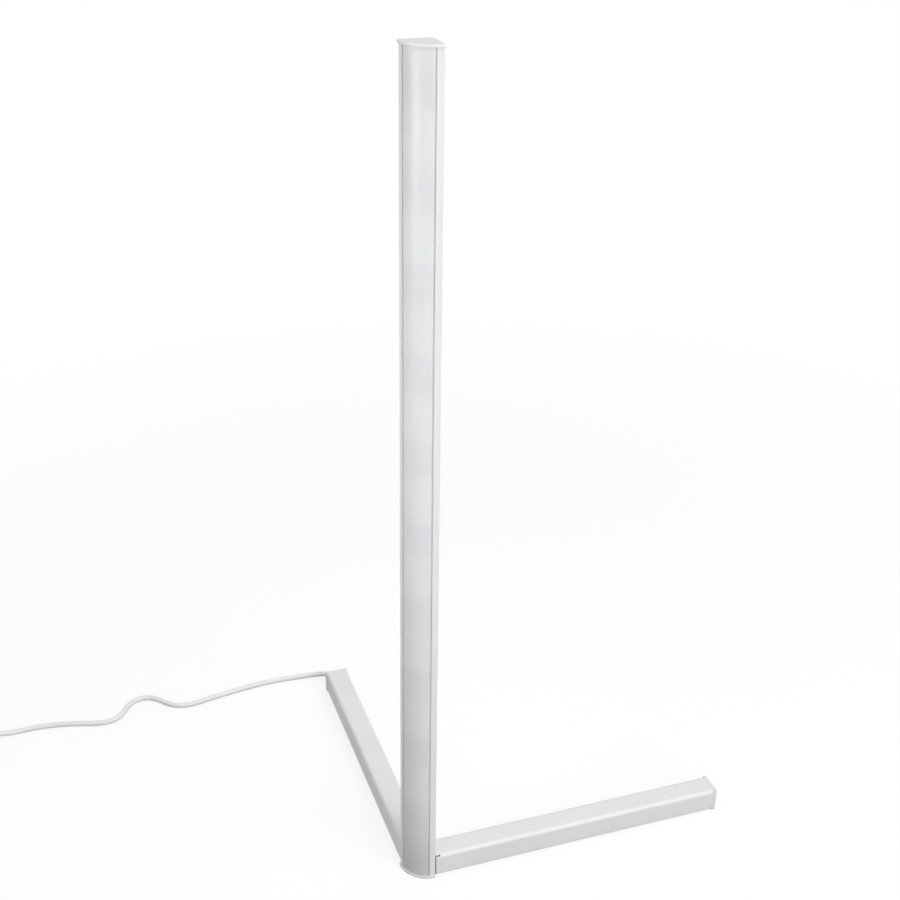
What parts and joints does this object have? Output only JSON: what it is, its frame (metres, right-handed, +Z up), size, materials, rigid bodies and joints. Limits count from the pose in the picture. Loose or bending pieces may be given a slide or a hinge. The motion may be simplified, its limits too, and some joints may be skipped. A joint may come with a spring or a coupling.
{
  "type": "corner floor lamp",
  "caption": "Tall quarter-round light column with an opal front, standing in the corner of an L of two low square bars, with a mains cord and an in-line switch.",
  "frame": {"origin": "on the floor, in the middle of the lamp's bounding box, its cord, switch and plug left out", "axes": "+Z up along the column, +X along the right bar, +Y along the left bar; the opal front faces -X -Y"},
  "size_m": [1.0535, 0.4879, 1.04],
  "materials": {
    "powder_coated_aluminium": "white satin powder coat on extruded aluminium",
    "opal_acrylic": "opal, slightly satin",
    "moulded_cap_white": "fine satin moulding",
    "zinc_plated_steel": "bright zinc plate",
    "ballast_steel": "hot rolled, oiled",
    "black_coated_casting": "die-cast, black electrophoretic coat",
    "black_rubber": "matt",
    "white_circuit_board": "white solder mask",
    "led_phosphor": "yellow phosphor in a white package",
    "green_circuit_board": "green solder mask, black and white components",
    "white_polycarbonate": "satin moulding",
    "brass": "plain",
    "white_pvc_sheath": "smooth satin cable sheath",
    "core_insulation": "coloured core insulation",
    "nickel_plated_brass": "satin nickel plate"
  },
  "bodies": {
    "lamp": {"column_profile": "powder_coated_aluminium", "diffuser": "opal_acrylic", "led_strip": "white_circuit_board", "led_chips": "led_phosphor", "top_cap": "moulded_cap_white", "bottom_cap": "moulded_cap_white", "bottom_cap_screws": "zinc_plated_steel", "cable_grommet": "black_rubber", "bar_right": "powder_coated_aluminium", "bar_left": "powder_coated_aluminium", "end_cap_right": "moulded_cap_white", "end_cap_left": "moulded_cap_white", "end_cap_screws": "zinc_plated_steel", "bracket_right": "black_coated_casting", "bracket_left": "black_coated_casting", "bracket_bolts": "zinc_plated_steel", "bar_screws": "zinc_plated_steel", "ballast_right": "ballast_steel", "ballast_left": "ballast_steel", "ballast_screws": "zinc_plated_steel", "driver_tray": "white_polycarbonate", "driver_lid": "white_polycarbonate", "driver_board": "green_circuit_board", "terminal_block": "white_polycarbonate", "terminal_screws": "brass", "clamp_base": "white_polycarbonate", "cord_clamp": "white_polycarbonate", "clamp_screws": "zinc_plated_steel", "earth_tag": "brass", "earth_screw": "zinc_plated_steel", "cord_inlet": "white_pvc_sheath", "mains_cores": "core_insulation", "driver_leads": "core_insulation", "lamp_cable": "white_pvc_sheath", "foot_pads": "black_rubber", "strain_relief": "white_pvc_sheath", "cord_lead": "white_pvc_sheath", "switch_base": "white_polycarbonate", "switch_cover": "white_polycarbonate", "switch_contacts": "brass", "switch_screws": "zinc_plated_steel", "cord_link": "white_pvc_sheath", "cord_coil": "white_pvc_sheath", "cord_tail": "white_pvc_sheath", "plug_body": "white_polycarbonate", "plug_pins": "nickel_plated_brass", "plug_earth_clips": "nickel_plated_brass"},
    "rocker": {"switch_rocker": "white_polycarbonate"}
  },
  "joints": [
    {"name": "rocker_tilt", "type": "hinge", "parent": "lamp", "child": "rocker", "pos_m": [-0.742, 0.248, 0.014], "axis": [0, 1, 0], "range_deg": [0, 16]}
  ]
}
